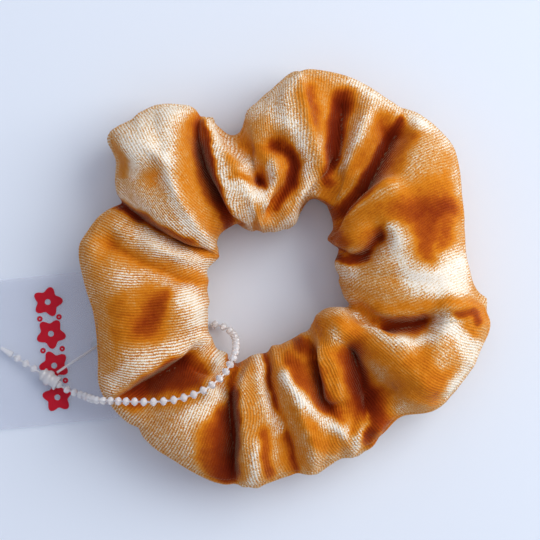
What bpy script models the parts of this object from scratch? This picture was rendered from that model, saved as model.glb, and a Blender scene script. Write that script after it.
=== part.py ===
"""Gathered velvet scrunchie with a clear swing tag on a beaded loop fastener.

Run with: blender --background --python part.py
Units are metres, +Z is up. The scrunchie lies flat, the middle of its cover's footprint is the origin,
and the tag lies to its -X side. Angles are measured round the ring from +X towards +Y.
"""

import math

import bmesh
import bpy
from mathutils import Vector

# ---------------------------------------------------------------- driving dimensions
CLOTH_THICKNESS = 0.0011
TUBE_TOP = 0.0265
TUBE_BOTTOM = -0.0012  # before the resting face is pressed flat at the surface
SECTION_FULLNESS = 2.25  # superellipse power of the puffed tube's section
AROUND = 84  # columns round the ring
SECTION = 16  # rows round the tube, without the two seam rows
TAG_SIDE_LIFT = 0.0030  # how far tag and strand hold the tube up where it lies on them
LIFT_FROM, LIFT_TO, LIFT_FADE = 168.0, 232.0, 16.0  # degrees round the ring

ELASTIC_RADIUS = 0.0273  # middle of the band's two layers
ELASTIC_WIDTH, ELASTIC_THICKNESS = 0.0060, 0.0009
ELASTIC_HEIGHT = 0.0102  # centre of the band above the surface
ELASTIC_OVERLAP = 22.0  # degrees of the ring where the band's ends lie on each other
STEP_FROM, STEP_LENGTH = 332.0, 26.0  # degrees along the band where it steps out over its first end
JOIN_SHARE = 0.60  # how much of the overlap the thread is wound round
GAP = 0.0003  # between pieces that touch

THREAD = 0.0005  # sewing thread, as a diameter
SEAM_ROW_ANGLE = 17.0  # the long seam's place round the section, above the outer rim
SEAM_SLIT = 0.0018  # width of the turning gap in the seam
SLIT_FROM, SLIT_TO = 190.0, 205.0  # degrees round the ring that the turning gap takes

TAG_WIDTH, TAG_LENGTH, TAG_THICKNESS, TAG_CORNER = 0.040, 0.060, 0.0004, 0.0025
TAG_HOLE, TAG_HOLE_INSET = 0.0040, 0.0053  # diameter, and its centre's distance from the short edge
TAG_TURN = 5.8  # degrees that the tag lies turned from square
TAG_TILT = 1.0  # degrees: its free end lies lower than its hole
TAG_LIFT = 0.0013  # underside of the card at its hole

BEAD, NECK = 0.0019, 0.0007  # strand diameters: over its beads, and at its smooth neck
LOCK_LENGTH, LOCK_DIAMETER, LOCK_BORE = 0.0050, 0.0044, 0.0026
TIP_LENGTH, TIP_DIAMETER = 0.0036, 0.0017

# ---------------------------------------------------------------- shape of the gathered tube
# (degrees round the ring, radius in mm) along the edge of the ring's outline and of its hole
OUTER_RIM = [
    (0, 52.5), (8, 51.5), (16, 52.8), (25, 55.2), (32, 58.0), (38, 59.8), (48, 59.2), (58, 57.4),
    (68, 58.8), (78, 58.0), (85, 56.0), (91, 52.0), (100, 47.0), (106, 42.5), (111, 49.0), (118, 53.5),
    (124, 57.2), (131, 58.0), (138, 59.0), (143, 53.5), (150, 49.8), (158, 50.4), (165, 52.4), (170, 54.0),
    (180, 51.6), (191, 49.6), (200, 51.3), (212, 55.5), (226, 55.3), (240, 55.3), (256, 57.5), (263, 56.0),
    (272, 53.0), (280, 52.6), (292, 51.0), (304, 50.6), (313, 49.2), (321, 54.3), (330, 56.5), (342, 58.0),
    (349, 59.0), (355, 54.5),
]  # fmt: skip
INNER_RIM = [
    (0, 15.6), (20, 15.1), (40, 16.4), (50, 19.4), (62, 21.8), (70, 16.2), (80, 12.6), (95, 11.6),
    (110, 11.6), (122, 12.4), (132, 15.8), (145, 16.6), (157, 15.8), (172, 17.5), (186, 16.9), (203, 19.0),
    (218, 21.6), (228, 22.4), (242, 21.0), (252, 20.0), (262, 17.4), (278, 16.5), (290, 14.9), (305, 15.2),
    (318, 13.8), (331, 15.0), (341, 19.2), (351, 17.4),
]  # fmt: skip
# the gathers' valleys: (degrees at the hole, degrees at the outer edge, depth in mm, half width in degrees)
GATHERS = [
    (17, 15, 3.5, 8), (47, 50, 6.5, 6), (61, 69, 6.5, 6), (89, 88, 5.0, 7), (104, 106, 4.0, 5),
    (129, 115, 6.5, 7), (156, 152, 5.5, 5), (177, 166, 3.0, 7), (221, 217, 6.5, 7), (243, 254, 6.5, 6),
    (262, 274, 5.0, 5), (283, 291, 5.0, 6), (307, 306, 6.5, 7), (339, 347, 5.5, 5),
]  # fmt: skip
UNDERSIDE_SHARE = 0.35  # how much of a gather's depth the pressed underside keeps
OUTER_SHARE, INNER_SHARE = 0.25, 0.20  # and what its outer edge and the wall of the ring's hole keep

# ---------------------------------------------------------------- the strand's route
# millimetres from the ring's centre: from the lock's side along the smooth neck, down through the tag's
# hole, under the tube, up through the ring, over the tube and through the lock to the free end
STRAND_ROUTE = [
    (-58.7, -24.5, 3.80), (-55.2, -22.1, 3.30), (-51.8, -19.9, 2.85), (-49.4, -18.3, 2.35), (-47.7, -17.2, 1.40),
    (-45.9, -16.6, 0.60), (-43.2, -16.2, 0.50), (-40.4, -16.2, 0.62), (-36.0, -15.6, 1.20), (-29.0, -13.9, 1.25),
    (-22.0, -12.2, 1.25), (-17.8, -11.6, 1.40), (-14.2, -12.2, 2.50), (-11.9, -13.6, 5.20), (-10.8, -15.0, 9.50),
    (-10.5, -16.4, 14.2), (-10.6, -18.2, 18.6), (-11.6, -20.8, 22.8), (-14.1, -24.5, 26.2), (-18.8, -27.9, 28.2),
    (-25.0, -30.0, 28.7), (-31.0, -30.8, 27.8), (-36.8, -30.9, 25.5), (-42.7, -31.0, 21.3), (-46.8, -31.1, 17.5),
    (-48.9, -30.8, 13.8), (-50.8, -30.4, 10.0), (-53.2, -29.9, 6.80), (-56.6, -28.7, 4.50), (-60.5, -26.2, 4.10),
    (-64.4, -23.8, 3.80), (-67.4, -22.0, 3.15), (-70.6, -20.0, 2.75),
]  # fmt: skip
NECK_POINTS = 9  # how many of the route's first points are smooth
LOCK_POINT = 29  # the route's point at the middle of the lock
STRAND_STEPS = 74  # points along the plain tube

COLOURS = {
    "velvet": (0.62, 0.27, 0.035, 1.0),
    "thread": (0.55, 0.25, 0.05, 1.0),
    "elastic": (0.85, 0.83, 0.78, 1.0),
    "clear_plastic": (0.86, 0.88, 0.93, 1.0),
}
ROUGHNESS = {"velvet": 0.85, "thread": 0.7, "elastic": 0.8, "clear_plastic": 0.15}


# ---------------------------------------------------------------- helpers
def clear_scene():
    for obj in list(bpy.data.objects):
        bpy.data.objects.remove(obj)


def make_materials():
    materials = {}
    for name, colour in COLOURS.items():
        material = bpy.data.materials.new(name)
        material.use_nodes = True
        shader = material.node_tree.nodes["Principled BSDF"]
        shader.inputs["Base Color"].default_value = colour
        shader.inputs["Roughness"].default_value = ROUGHNESS[name]
        shader.inputs["Metallic"].default_value = 0.0
        materials[name] = material
    return materials


def add_object(name, data, material, parent=None):
    obj = bpy.data.objects.new(name, data)
    bpy.context.scene.collection.objects.link(obj)
    obj.data.materials.append(material)
    obj.parent = parent
    return obj


def add_pivot(name, location, parent=None):
    pivot = bpy.data.objects.new(name, None)
    bpy.context.scene.collection.objects.link(pivot)
    pivot.parent = parent
    pivot.location = location
    return pivot


def mesh_from(name, points, faces):
    mesh = bpy.data.meshes.new(name)
    mesh.from_pydata(points, [], faces)
    work = bmesh.new()
    work.from_mesh(mesh)
    bmesh.ops.recalc_face_normals(work, faces=work.faces)
    work.to_mesh(mesh)
    work.free()
    mesh.shade_smooth()
    return mesh


def catmull_rom(a, b, c, d, t):
    """The smooth curve's value between b and c, for numbers or vectors."""
    return 0.5 * (2 * b + (c - a) * t + (2 * a - 5 * b + 4 * c - d) * t * t + (3 * b - a - 3 * c + d) * t**3)


def round_table(table, degrees):
    """A closed outline's radius in metres at this angle, smooth through the table's points."""
    degrees %= 360.0
    count = len(table)
    after = next((i for i, (at, _) in enumerate(table) if at > degrees), count)
    at = [table[(after + k) % count][0] + 360.0 * ((after + k) // count) for k in (-1, 0)]
    share = (degrees - at[0]) / (at[1] - at[0])
    values = [table[(after + k) % count][1] for k in (-2, -1, 0, 1)]
    return catmull_rom(*values, share) * 0.001


def ease(share):
    share = min(max(share, 0.0), 1.0)
    return share * share * (3.0 - 2.0 * share)


def angle_between(a, b):
    """a - b in degrees, from -180 to 180."""
    return (a - b + 180.0) % 360.0 - 180.0


def lift_at(degrees):
    """How far the underside is held off the surface, by the tag and the strand beneath it."""
    rising = ease((degrees % 360.0 - (LIFT_FROM - LIFT_FADE)) / LIFT_FADE)
    falling = ease(((LIFT_TO + LIFT_FADE) - degrees % 360.0) / LIFT_FADE)
    return TAG_SIDE_LIFT * rising * falling


def gather_depth(degrees, outward, up):
    """How deep the cloth is drawn in, for a place that is outward (0 at the hole, 1 at the outer edge)."""
    depth = 0.0
    for at_hole, at_edge, deepest, half_width in GATHERS:
        middle = at_hole + (at_edge - at_hole) * outward
        away = abs(angle_between(degrees, middle)) / half_width
        depth = max(depth, deepest * 0.001 * (1.0 - ease(away)))
    kept = 1.0 - (1.0 - OUTER_SHARE) * ease((outward - 0.55) / 0.45)
    kept *= 1.0 - (1.0 - INNER_SHARE) * ease((0.30 - outward) / 0.30)
    return depth * kept * (1.0 if up else UNDERSIDE_SHARE)


def powered(value, power):
    return math.copysign(abs(value) ** power, value)


def section_point(degrees, section_degrees, inset=0.0):
    """A point of the cover, inset from its outer face. Section angle 0 is the outer edge, 90 the top."""
    outer, inner = round_table(OUTER_RIM, degrees), round_table(INNER_RIM, degrees)
    half_width, half_height = (outer - inner) / 2, (TUBE_TOP - TUBE_BOTTOM) / 2
    across = math.cos(math.radians(section_degrees))
    up = math.sin(math.radians(section_degrees))
    outward = (across + 1.0) / 2.0
    depth = gather_depth(degrees, outward, up > -0.1) + inset
    power = 2.0 / SECTION_FULLNESS
    radius = (inner + outer) / 2 + powered(across, power) * (half_width - depth)
    height = (TUBE_TOP + TUBE_BOTTOM) / 2 + powered(up, power) * (half_height - depth)
    height = max(height, lift_at(degrees) + inset)
    turn = math.radians(degrees)
    return Vector((radius * math.cos(turn), radius * math.sin(turn), height))


def section_angles():
    """The rows round the tube: even ones, and the two edges of the seam."""
    half_seam = math.degrees(SEAM_SLIT / 2 / ((TUBE_TOP - TUBE_BOTTOM) / 2))
    even = [360.0 * k / SECTION for k in range(SECTION)]
    seam = [SEAM_ROW_ANGLE - half_seam, SEAM_ROW_ANGLE + half_seam]
    kept = [a for a in even if abs(angle_between(a, SEAM_ROW_ANGLE)) > 3.0 * half_seam]
    return sorted(kept + seam), seam


# ---------------------------------------------------------------- cover and its seams
def make_cover(material):
    """One skin of cloth, open along the turning gap, thickened inwards."""
    rows, seam = section_angles()
    step = 360.0 / AROUND
    points = [section_point(step * i, row) for i in range(AROUND) for row in rows]
    faces = []
    for i in range(AROUND):
        for k, row in enumerate(rows):
            if row == seam[0] and SLIT_FROM <= step * (i + 0.5) <= SLIT_TO:
                continue
            after, above = (i + 1) % AROUND, (k + 1) % len(rows)
            count = len(rows)
            faces.append((i * count + k, after * count + k, after * count + above, i * count + above))
    cover = add_object("velvet_cover", mesh_from("velvet_cover", points, faces), material)
    cloth = cover.modifiers.new("cloth", "SOLIDIFY")
    cloth.thickness = CLOTH_THICKNESS
    cloth.offset = -1.0
    cloth.use_even_offset = False
    return cover


def tube_along(name, points, diameter, material, parent=None, radii=None, cyclic=False, sides=2):
    """A round cord through the points, with each point's share of the diameter in radii."""
    curve = bpy.data.curves.new(name, "CURVE")
    curve.dimensions = "3D"
    curve.bevel_depth = diameter / 2
    curve.bevel_resolution = sides
    curve.use_fill_caps = True
    spline = curve.splines.new("POLY")
    spline.points.add(len(points) - 1)
    for k, point in enumerate(points):
        spline.points[k].co = (*point, 1.0)
        spline.points[k].radius = radii[k] if radii else 1.0
    spline.use_cyclic_u = cyclic
    return add_object(name, curve, material, parent)


def make_long_seam_thread(material):
    """The seam's thread lies on the cover's inner face, all the way round."""
    inset = CLOTH_THICKNESS + 4 * GAP + THREAD
    angles = [360.0 * i / AROUND for i in range(AROUND)]
    points = [section_point(a, SEAM_ROW_ANGLE, inset) for a in angles]
    return tube_along("long_seam_thread", points, THREAD, material, cyclic=True, sides=1)


def make_closing_seam_thread(material):
    """One thread that dips in and out of the turning gap, which it draws together."""
    stitches, steps = 5, 8
    start, end = SLIT_FROM + 0.8, SLIT_TO - 1.6
    points = []
    for i in range(stitches * steps + 1):
        along = i / (stitches * steps)
        inset = CLOTH_THICKNESS * (0.5 + 0.75 * math.cos(math.tau * stitches * along))
        points.append(section_point(start + (end - start) * along, SEAM_ROW_ANGLE, inset))
    return tube_along("closing_seam_thread", points, THREAD, material, sides=1)


# ---------------------------------------------------------------- elastic
def make_elastic(material, pivot):
    """A flat band bent to a ring, whose second end lies outside the first."""
    half_width, half_thick, chamfer = ELASTIC_WIDTH / 2, ELASTIC_THICKNESS / 2, ELASTIC_THICKNESS / 5
    outline = [
        (-half_thick + chamfer, -half_width), (half_thick - chamfer, -half_width),
        (half_thick, -half_width + chamfer), (half_thick, half_width - chamfer),
        (half_thick - chamfer, half_width), (-half_thick + chamfer, half_width),
        (-half_thick, half_width - chamfer), (-half_thick, -half_width + chamfer),
    ]  # fmt: skip
    step_over = ELASTIC_THICKNESS + GAP
    steps = 96
    total = 360.0 + ELASTIC_OVERLAP
    points, faces = [], []
    for i in range(steps + 1):
        degrees = total * i / steps
        turn = math.radians(degrees - ELASTIC_OVERLAP / 2)
        radius = ELASTIC_RADIUS - step_over / 2 + step_over * ease((degrees - STEP_FROM) / STEP_LENGTH)
        for out, up in outline:
            points.append(((radius + out) * math.cos(turn), (radius + out) * math.sin(turn), up))
    count = len(outline)
    for i in range(steps):
        for k in range(count):
            after = (k + 1) % count
            faces.append((i * count + k, i * count + after, (i + 1) * count + after, (i + 1) * count + k))
    faces.append(tuple(reversed(range(count))))
    faces.append(tuple(steps * count + k for k in range(count)))
    return add_object("elastic_band", mesh_from("elastic_band", points, faces), material, pivot)


def make_elastic_join_thread(material, pivot):
    """Thread wound round the band's two overlapping ends, which holds them together."""
    turns, steps = 6, 14
    reach = ELASTIC_OVERLAP * JOIN_SHARE / 2
    half_out = ELASTIC_THICKNESS + GAP / 2 + GAP + THREAD / 2
    half_up = ELASTIC_WIDTH / 2 + GAP + THREAD / 2
    corner = 0.5  # squares the loops off, to follow the band's flat section
    points = []
    for i in range(turns * steps + 1):
        wound = math.tau * i / steps
        turn = math.radians(reach * (2.0 * i / (turns * steps) - 1.0))
        radius = ELASTIC_RADIUS + half_out * powered(math.cos(wound), corner)
        up = half_up * powered(math.sin(wound), corner)
        points.append(Vector((radius * math.cos(turn), radius * math.sin(turn), up)))
    return tube_along("elastic_join_thread", points, THREAD, material, pivot, sides=1)


# ---------------------------------------------------------------- tag and its fastener
def make_tag(material, pivot):
    """A clear card with round corners and a punched hole, whose centre is the object's origin."""
    work = bmesh.new()
    right = TAG_HOLE_INSET
    left = right - TAG_LENGTH
    half = TAG_WIDTH / 2
    centres = [(right - TAG_CORNER, half - TAG_CORNER), (left + TAG_CORNER, half - TAG_CORNER),
               (left + TAG_CORNER, TAG_CORNER - half), (right - TAG_CORNER, TAG_CORNER - half)]  # fmt: skip
    corners = []
    for quarter, (x, y) in enumerate(centres):
        for k in range(5):
            turn = math.radians(90.0 * quarter + 22.5 * k)
            corners.append(work.verts.new((x + TAG_CORNER * math.cos(turn), y + TAG_CORNER * math.sin(turn), 0)))
    face = work.faces.new(corners)
    raised = bmesh.ops.extrude_face_region(work, geom=[face])
    bmesh.ops.translate(
        work, verts=[v for v in raised["geom"] if isinstance(v, bmesh.types.BMVert)], vec=(0, 0, TAG_THICKNESS)
    )
    bmesh.ops.recalc_face_normals(work, faces=work.faces)
    mesh = bpy.data.meshes.new("tag_card")
    work.to_mesh(mesh)
    work.free()
    card = add_object("tag_card", mesh, material, pivot)
    card.rotation_euler = (0.0, -math.radians(TAG_TILT), math.radians(TAG_TURN))

    punch_mesh = bpy.data.meshes.new("punch")
    work = bmesh.new()
    bmesh.ops.create_cone(
        work, cap_ends=True, segments=32, radius1=TAG_HOLE / 2, radius2=TAG_HOLE / 2, depth=0.01
    )
    work.to_mesh(punch_mesh)
    work.free()
    punch = add_object("punch", punch_mesh, material, card)
    punch.hide_render = True
    punch.display_type = "WIRE"
    hole = card.modifiers.new("punched_hole", "BOOLEAN")
    hole.operation = "DIFFERENCE"
    hole.object = punch
    return card


def smooth_route(points, steps, radii):
    """Evenly spaced points on the smooth curve through a route, with the radius share carried along."""
    fine, shares = [], []
    count = len(points)
    for i in range(count - 1):
        four = [points[min(max(i + k, 0), count - 1)] for k in (-1, 0, 1, 2)]
        for k in range(16):
            fine.append(catmull_rom(*four, k / 16))
            shares.append(radii[i] + (radii[i + 1] - radii[i]) * k / 16)
    fine.append(points[-1])
    shares.append(radii[-1])
    along = [0.0]
    for a, b in zip(fine, fine[1:]):
        along.append(along[-1] + (b - a).length)
    out, out_shares, k = [], [], 0
    for i in range(steps):
        wanted = along[-1] * i / (steps - 1)
        while k < len(along) - 2 and along[k + 1] < wanted:
            k += 1
        share = (wanted - along[k]) / (along[k + 1] - along[k])
        out.append(fine[k].lerp(fine[k + 1], share))
        out_shares.append(shares[k] + (shares[k + 1] - shares[k]) * share)
    return out, out_shares


def turned_piece(name, profile, material, parent, location, direction, segments=20):
    """A turned solid from (radius, along) pairs; its axis points along direction."""
    points, faces = [], []
    count = len(profile)
    for i in range(segments):
        turn = math.tau * i / segments
        points += [(r * math.cos(turn), r * math.sin(turn), z) for r, z in profile]
    for i in range(segments):
        after = (i + 1) % segments
        for k in range(count):
            above = (k + 1) % count
            faces.append((i * count + k, after * count + k, after * count + above, i * count + above))
    obj = add_object(name, mesh_from(name, points, faces), material, parent)
    obj.location = location
    obj.rotation_mode = "QUATERNION"
    obj.rotation_quaternion = Vector(direction).to_track_quat("Z", "Y")
    return obj


def make_fastener(material, pivot):
    """The beaded strand as a plain tube, the lock that it is threaded through, and its pointed free end."""
    route = [Vector(p) * 0.001 for p in STRAND_ROUTE]
    shares = [NECK / BEAD if k < NECK_POINTS - 1 else 1.0 for k in range(len(route))]
    points, radii = smooth_route(route, STRAND_STEPS, shares)
    tube_along("bead_strand", points, BEAD, material, pivot, radii=radii)

    bore, outside, half, edge = LOCK_BORE / 2, LOCK_DIAMETER / 2, LOCK_LENGTH / 2, LOCK_LENGTH / 10
    barrel = [(bore, -half), (outside - edge, -half), (outside, -half + 2 * edge), (outside, half - 2 * edge),
              (outside - edge, half), (bore, half)]  # fmt: skip
    through = route[LOCK_POINT + 1] - route[LOCK_POINT - 1]
    turned_piece("strand_lock", barrel, material, pivot, route[LOCK_POINT], through)

    arrow = [(TIP_DIAMETER / 2, 0.0), (TIP_DIAMETER / 2, TIP_LENGTH / 4), (TIP_DIAMETER / 4, TIP_LENGTH)]
    onward = (route[-1] - route[-2]).normalized()
    make_tip(arrow, material, pivot, route[-1] + onward * GAP, onward)


def make_tip(rings, material, pivot, location, direction, segments=12):
    """A small solid arrowhead, turned from rings of (radius, along), with a flat face at each end."""
    points, faces = [], []
    for r, z in rings:
        points += [(r * math.cos(math.tau * i / segments), r * math.sin(math.tau * i / segments), z)
                   for i in range(segments)]  # fmt: skip
    for k in range(len(rings) - 1):
        for i in range(segments):
            after = (i + 1) % segments
            low, high = k * segments, (k + 1) * segments
            faces.append((low + i, low + after, high + after, high + i))
    faces.append(tuple(reversed(range(segments))))
    faces.append(tuple((len(rings) - 1) * segments + i for i in range(segments)))
    tip = add_object("strand_tip", mesh_from("strand_tip", points, faces), material, pivot)
    tip.location = location
    tip.rotation_mode = "QUATERNION"
    tip.rotation_quaternion = Vector(direction).to_track_quat("Z", "Y")
    return tip


def footprint_centre():
    """The middle of the cover's plan box, seen from the ring's centre."""
    rows, _ = section_angles()
    points = [section_point(360.0 * i / AROUND, row) for i in range(AROUND) for row in rows]
    xs, ys = [p.x for p in points], [p.y for p in points]
    return Vector(((min(xs) + max(xs)) / 2, (min(ys) + max(ys)) / 2, 0.0))


def main():
    clear_scene()
    materials = make_materials()
    ring_centre = add_pivot("ring_centre", -footprint_centre())
    for seam_part in (
        make_cover(materials["velvet"]),
        make_long_seam_thread(materials["thread"]),
        make_closing_seam_thread(materials["thread"]),
    ):
        seam_part.parent = ring_centre
    elastic_pivot = add_pivot("elastic_pivot", (0.0, 0.0, ELASTIC_HEIGHT), ring_centre)
    make_elastic(materials["elastic"], elastic_pivot)
    make_elastic_join_thread(materials["thread"], elastic_pivot)
    make_fastener(materials["clear_plastic"], ring_centre)
    hole = STRAND_ROUTE[4]
    tag_pivot = add_pivot("tag_pivot", (hole[0] * 0.001, hole[1] * 0.001, TAG_LIFT), ring_centre)
    make_tag(materials["clear_plastic"], tag_pivot)


main()
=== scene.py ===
"""The velvet scrunchie's looks: a gathered cover with its folds, a beaded loop fastener and a clear swing tag.

Angles are degrees round the ring from +X towards +Y. The tables of outlines, folds, strokes and the strand's route,
and the cover's grid, are in millimetres from the ring's centre. Meshes, materials, camera and lights are in metres.
"""
import math

import bmesh
import bpy
import numpy as np
from mathutils import Matrix, Vector


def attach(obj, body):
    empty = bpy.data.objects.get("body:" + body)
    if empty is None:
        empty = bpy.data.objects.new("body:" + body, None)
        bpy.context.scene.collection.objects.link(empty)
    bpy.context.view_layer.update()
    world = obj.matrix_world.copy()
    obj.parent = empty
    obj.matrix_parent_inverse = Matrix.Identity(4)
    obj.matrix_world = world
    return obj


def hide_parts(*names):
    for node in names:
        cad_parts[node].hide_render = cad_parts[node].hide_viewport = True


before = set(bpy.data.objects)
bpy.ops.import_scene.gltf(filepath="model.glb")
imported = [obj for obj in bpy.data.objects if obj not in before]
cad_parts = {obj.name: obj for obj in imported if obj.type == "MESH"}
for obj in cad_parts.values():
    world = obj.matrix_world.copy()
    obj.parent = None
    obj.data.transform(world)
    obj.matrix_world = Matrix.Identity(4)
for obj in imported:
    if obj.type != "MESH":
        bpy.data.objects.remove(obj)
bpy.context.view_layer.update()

SCENE = bpy.context.scene
MM = 0.001
RING_CENTRE = Vector((-0.0018, -0.00039, 0.0))

# ---- the cover's outline, as in the CAD model
OUTER_RIM = [
    (0, 51.6), (8, 50.6), (16, 52.0), (25, 54.2), (32, 57.0), (38, 58.9), (48, 58.0), (58, 56.6),
    (68, 57.4), (78, 57.0), (85, 55.0), (91, 50.8), (100, 46.0), (106, 41.3), (111, 48.4), (118, 52.5),
    (124, 56.2), (131, 56.8), (138, 58.2), (143, 52.5), (150, 48.9), (158, 49.4), (165, 51.5), (170, 52.9),
    (180, 50.8), (191, 48.9), (200, 50.3), (212, 54.5), (226, 54.4), (240, 54.4), (256, 56.4), (263, 54.8),
    (272, 52.1), (280, 51.7), (292, 50.1), (304, 49.7), (313, 48.5), (321, 53.6), (330, 55.5), (342, 57.0),
    (349, 57.9), (353, 55.9), (357, 52.9),
]
INNER_RIM = [
    (0, 15.4), (20, 14.8), (40, 16.0), (50, 19.4), (57, 20.6), (62, 21.4), (67, 16.2), (74, 13.4), (80, 12.4),
    (95, 11.4), (110, 11.4), (122, 12.4), (132, 15.4), (141, 17.0), (147, 16.1), (157, 15.4), (170, 17.4),
    (180, 16.4), (190, 17.0), (203, 18.6), (217, 21.0), (228, 22.2), (235, 20.8), (247, 20.0), (257, 18.4),
    (266, 16.6), (279, 15.8), (296, 14.6), (309, 15.3), (320, 13.5), (331, 15.0), (341, 19.8), (347, 18.2), (354, 16.8),
]
TUBE_TOP = [(0, 24.5), (30, 26.0), (60, 25.0), (85, 24.0), (125, 26.0), (160, 24.5), (195, 26.0), (235, 25.5),
            (265, 24.5), (290, 23.5), (325, 26.0)]
TUBE_BOTTOM = -1.6
FULLNESS = 2.12  # the power of the tube's section: 2 is an ellipse, and more is squarer

# valleys: depth, how far each side rises from the bottom (towards lower and higher angles), and the line's points,
# each an angle and a radius
VALLEYS = [
    (7.5, 2.4, 3.6, (53, 54), (51.5, 50), (50, 42), (47.5, 34), (45.5, 26), (46, 21)),
    (6.0, 3.4, 3.2, (70, 54), (70, 51), (69.5, 47), (66.5, 39), (62.5, 31), (61, 25), (61, 20)),
    (4.2, 2.2, 2.6, (90, 37), (83, 34), (80.5, 30), (81.5, 26.5), (86, 22), (93, 18.5)),
    (4.4, 2.6, 1.6, (107, 45), (107, 41), (103.5, 35), (100, 30.5), (96.5, 27)),
    (7.0, 1.6, 4.4, (113.5, 49), (116, 44), (118.3, 40), (120.8, 34), (124, 25), (129, 15)),
    (6.0, 1.5, 2.2, (151.5, 51), (153, 46), (155, 37), (157, 28), (158, 20)),
    (4.0, 3.5, 4.0, (166, 48), (168.5, 43), (171.5, 37), (174, 28), (179, 20)),
    (8.5, 1.7, 6.5, (216.5, 52), (217.5, 46), (218.3, 40), (219.5, 33), (221.5, 28)),
    (2.6, 1.4, 1.4, (228, 26), (229, 22)),
    (3.2, 1.6, 1.8, (238, 28), (239, 24), (240, 20)),
    (6.5, 4.4, 1.7, (258, 55), (256, 44), (251, 33), (246.5, 27), (243, 20)),
    (4.2, 2.0, 2.4, (275.8, 51), (274, 42), (270.8, 35), (266.7, 28), (262, 20)),
    (4.2, 2.6, 1.3, (292, 38), (293, 33), (295, 27), (300, 19)),
    (8.0, 3.2, 4.8, (307.5, 44), (308.8, 39), (311.2, 32), (315, 26.5)),
    (7.0, 4.8, 1.3, (347.3, 43), (343.5, 36.5), (340.5, 30), (339.5, 24)),
    (4.8, 1.8, 2.6, (30, 16), (20.5, 18.5), (14.5, 21), (16.5, 25.5), (22, 30)),
]
# ridges: height, fall to each side (towards lower and higher angles), how far they lean over, and the points
RIDGES = [
    (3.0, 5.0, 1.3, 2.0, (43.5, 21), (42, 27), (41.3, 33), (40, 40)),
    (1.6, 3.0, 3.0, 0.0, (61, 53), (60, 42), (58, 32), (57.5, 25)),
    (2.2, 1.2, 3.4, -1.2, (84, 54), (81.5, 48), (78, 42), (71, 35.5), (63.5, 30), (62, 25)),
    (1.6, 2.4, 2.2, 0.0, (91, 32), (90, 27), (97, 20)),
    (2.4, 3.6, 1.0, 1.6, (111.5, 48), (113.5, 42), (117.5, 32), (121, 21), (127, 14)),
    (1.4, 2.0, 1.8, 0.0, (109.5, 48), (109, 41), (107.5, 34)),
    (2.2, 3.0, 3.0, 0.3, (132, 44), (137, 37), (142, 30), (147, 23)),
    (1.6, 2.6, 2.6, 0.0, (138.5, 58), (134, 46)),
    (2.0, 3.0, 0.9, 1.3, (150, 50), (151.5, 45), (152.5, 37), (154, 28), (155.5, 20)),
    (1.0, 3.0, 2.6, 0.0, (160, 50), (163, 36), (167, 24)),
    (2.0, 4.5, 0.9, 1.8, (213, 53), (213.2, 43), (214.8, 34), (218, 27)),
    (1.8, 2.0, 1.6, 0.2, (231, 22), (235, 29), (238, 34)),
    (2.4, 1.0, 3.0, -1.4, (262, 55), (260, 44), (255.5, 34), (251.5, 27), (249, 20)),
    (1.2, 1.2, 1.4, 0.0, (268, 37), (261, 27), (256, 20)),
    (1.0, 1.0, 1.0, 0.0, (264.5, 54), (263.5, 46)),
    (2.0, 2.6, 2.4, 0.0, (281, 53), (282.5, 44), (280, 36), (274, 28), (266, 19)),
    (1.6, 1.6, 1.6, 0.3, (294, 44), (287.5, 37.5), (281.5, 31.5), (275, 26)),
    (1.2, 1.1, 1.4, 0.0, (295, 50), (300, 46), (305, 43)),
    (2.4, 1.0, 3.4, -1.4, (311, 15), (304, 20), (298.5, 27), (295.5, 34)),
    (1.6, 1.8, 1.6, 0.0, (306, 27), (302, 33), (298, 36)),
    (1.2, 6.0, 6.0, 0.0, (327, 54), (326, 40), (325, 22)),
    (2.2, 4.5, 1.2, 1.0, (336.5, 24), (335.5, 28), (333.5, 33), (334, 38)),
    (2.0, 1.6, 2.4, -1.2, (354.5, 56), (353.2, 50), (350.5, 42), (346.5, 34), (343, 26)),
]
# broad swellings and dents: angle, radius, height (a dent's is below 0) and reach in millimetres
SWELLINGS = [
    (31, 23, 1.8, 5), (14, 37, 1.0, 6), (2, 44, 1.5, 8), (24, 44, -1.4, 7), (97.5, 26.5, -2.0, 2.6),
    (138, 43, -2.8, 4.5), (162, 40, -1.2, 4.0), (195, 23, 1.6, 7), (198, 35, -1.6, 7),
    (330, 46, 1.2, 9), (240, 46, 1.0, 9), (120, 50, 1.0, 6), (220, 25, 1.6, 3.5), (331, 19, 1.5, 6),
]
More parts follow.
